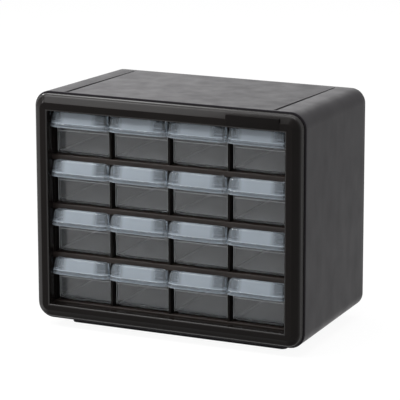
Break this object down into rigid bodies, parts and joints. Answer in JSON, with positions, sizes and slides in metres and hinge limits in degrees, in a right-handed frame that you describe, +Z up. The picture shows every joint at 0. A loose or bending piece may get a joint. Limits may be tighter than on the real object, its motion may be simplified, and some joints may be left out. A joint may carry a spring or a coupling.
{
  "type": "parts bin cabinet",
  "caption": "Black plastic parts cabinet with a deep rounded front frame, slotted rack and frosted see-through drawers with hooded pulls that slide straight out.",
  "frame": {"origin": "on the ground under the middle of the cabinet", "axes": "+X to the right seen from the front, +Y from front to back, +Z up; the drawers open towards -Y"},
  "size_m": [0.2712, 0.158, 0.2226],
  "materials": {
    "housing_plastic": "satin black, moulded",
    "bezel_plastic": "semi-gloss black, moulded",
    "label_plastic": "matte black, bare",
    "rack_plastic": "satin brown black",
    "drawer_plastic": "frosted translucent"
  },
  "bodies": {
    "cabinet": {"housing": "housing_plastic", "front_bezel": "bezel_plastic", "label_plate": "label_plastic", "base_shelf": "rack_plastic", "shelf_3": "rack_plastic", "shelf_2": "rack_plastic", "shelf_1": "rack_plastic", "top_shelf": "rack_plastic", "side_panel_left": "rack_plastic", "divider_1": "rack_plastic", "divider_2": "rack_plastic", "divider_3": "rack_plastic", "side_panel_right": "rack_plastic"},
    "drawer_r1c1_body": {"drawer_r1c1": "drawer_plastic"},
    "drawer_r1c2_body": {"drawer_r1c2": "drawer_plastic"},
    "drawer_r1c3_body": {"drawer_r1c3": "drawer_plastic"},
    "drawer_r1c4_body": {"drawer_r1c4": "drawer_plastic"},
    "drawer_r2c1_body": {"drawer_r2c1": "drawer_plastic"},
    "drawer_r2c2_body": {"drawer_r2c2": "drawer_plastic"},
    "drawer_r2c3_body": {"drawer_r2c3": "drawer_plastic"},
    "drawer_r2c4_body": {"drawer_r2c4": "drawer_plastic"},
    "drawer_r3c1_body": {"drawer_r3c1": "drawer_plastic"},
    "drawer_r3c2_body": {"drawer_r3c2": "drawer_plastic"},
    "drawer_r3c3_body": {"drawer_r3c3": "drawer_plastic"},
    "drawer_r3c4_body": {"drawer_r3c4": "drawer_plastic"},
    "drawer_r4c1_body": {"drawer_r4c1": "drawer_plastic"},
    "drawer_r4c2_body": {"drawer_r4c2": "drawer_plastic"},
    "drawer_r4c3_body": {"drawer_r4c3": "drawer_plastic"},
    "drawer_r4c4_body": {"drawer_r4c4": "drawer_plastic"}
  },
  "joints": [
    {"name": "drawer_r1c1_slide", "type": "slide", "parent": "cabinet", "child": "drawer_r1c1_body", "axis": [0, -1, 0], "range_m": [0, 0.1275]},
    {"name": "drawer_r1c2_slide", "type": "slide", "parent": "cabinet", "child": "drawer_r1c2_body", "axis": [0, -1, 0], "range_m": [0, 0.1275]},
    {"name": "drawer_r1c3_slide", "type": "slide", "parent": "cabinet", "child": "drawer_r1c3_body", "axis": [0, -1, 0], "range_m": [0, 0.1275]},
    {"name": "drawer_r1c4_slide", "type": "slide", "parent": "cabinet", "child": "drawer_r1c4_body", "axis": [0, -1, 0], "range_m": [0, 0.1275]},
    {"name": "drawer_r2c1_slide", "type": "slide", "parent": "cabinet", "child": "drawer_r2c1_body", "axis": [0, -1, 0], "range_m": [0, 0.1275]},
    {"name": "drawer_r2c2_slide", "type": "slide", "parent": "cabinet", "child": "drawer_r2c2_body", "axis": [0, -1, 0], "range_m": [0, 0.1275]},
    {"name": "drawer_r2c3_slide", "type": "slide", "parent": "cabinet", "child": "drawer_r2c3_body", "axis": [0, -1, 0], "range_m": [0, 0.1275]},
    {"name": "drawer_r2c4_slide", "type": "slide", "parent": "cabinet", "child": "drawer_r2c4_body", "axis": [0, -1, 0], "range_m": [0, 0.1275]},
    {"name": "drawer_r3c1_slide", "type": "slide", "parent": "cabinet", "child": "drawer_r3c1_body", "axis": [0, -1, 0], "range_m": [0, 0.1275]},
    {"name": "drawer_r3c2_slide", "type": "slide", "parent": "cabinet", "child": "drawer_r3c2_body", "axis": [0, -1, 0], "range_m": [0, 0.1275]},
    {"name": "drawer_r3c3_slide", "type": "slide", "parent": "cabinet", "child": "drawer_r3c3_body", "axis": [0, -1, 0], "range_m": [0, 0.1275]},
    {"name": "drawer_r3c4_slide", "type": "slide", "parent": "cabinet", "child": "drawer_r3c4_body", "axis": [0, -1, 0], "range_m": [0, 0.1275]},
    {"name": "drawer_r4c1_slide", "type": "slide", "parent": "cabinet", "child": "drawer_r4c1_body", "axis": [0, -1, 0], "range_m": [0, 0.1275]},
    {"name": "drawer_r4c2_slide", "type": "slide", "parent": "cabinet", "child": "drawer_r4c2_body", "axis": [0, -1, 0], "range_m": [0, 0.1275]},
    {"name": "drawer_r4c3_slide", "type": "slide", "parent": "cabinet", "child": "drawer_r4c3_body", "axis": [0, -1, 0], "range_m": [0, 0.1275]},
    {"name": "drawer_r4c4_slide", "type": "slide", "parent": "cabinet", "child": "drawer_r4c4_body", "axis": [0, -1, 0], "range_m": [0, 0.1275]}
  ]
}
